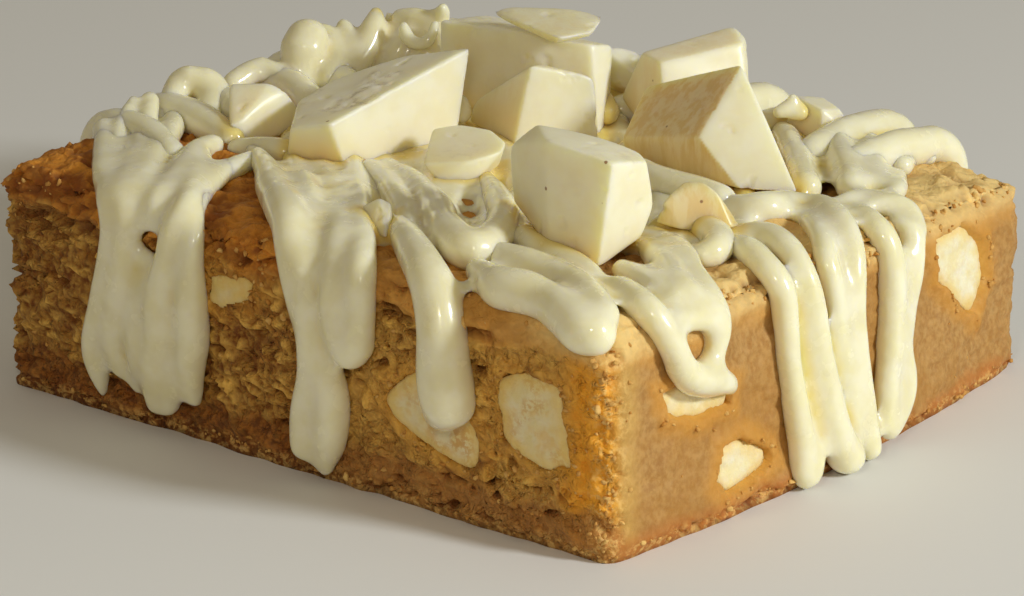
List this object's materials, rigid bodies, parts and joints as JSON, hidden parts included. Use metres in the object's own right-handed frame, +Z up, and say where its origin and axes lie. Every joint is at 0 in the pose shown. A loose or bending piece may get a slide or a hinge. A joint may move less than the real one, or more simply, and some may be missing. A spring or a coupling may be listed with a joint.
{
  "type": "white chocolate blondie",
  "caption": "Cut square of blondie cake with white chocolate drizzle over its top and sides and broken white chocolate chunks on the top and in the cut sides.",
  "frame": {"origin": "middle of the cake's own rectangle on the flat underside", "axes": "+Z up, +X along the long cut side, -Y towards the long cut side that is at the left in the picture"},
  "size_m": [0.0933, 0.0828, 0.0379],
  "materials": {
    "baked_crumb": "baked cake crumb, golden brown with a darker crust, dull and rough",
    "white_chocolate": "broken white chocolate, cream coloured, satin faces and rougher breaks",
    "chocolate_drizzle": "set white chocolate drizzle, smooth, satin gloss"
  },
  "bodies": {
    "root": {"blondie": "baked_crumb", "chunk_back": "white_chocolate", "chunk_far_back": "white_chocolate", "chunk_far_left": "white_chocolate", "chunk_far_middle": "white_chocolate", "chunk_flat": "white_chocolate", "chunk_front": "white_chocolate", "chunk_left": "white_chocolate", "chunk_long": "white_chocolate", "chunk_low": "white_chocolate", "chunk_middle": "white_chocolate", "chunk_peak": "white_chocolate", "chunk_plate": "white_chocolate", "chunk_shard": "white_chocolate", "chunk_tall_slab": "white_chocolate", "chunk_wedge": "white_chocolate", "inset_back_far": "white_chocolate", "inset_back_mid": "white_chocolate", "inset_back_near": "white_chocolate", "inset_front_left": "white_chocolate", "inset_front_mid": "white_chocolate", "inset_front_right": "white_chocolate", "inset_left_far": "white_chocolate", "inset_left_near": "white_chocolate", "inset_right_drip": "white_chocolate", "inset_right_far": "white_chocolate", "inset_right_low": "white_chocolate"}
  },
  "joints": []
}
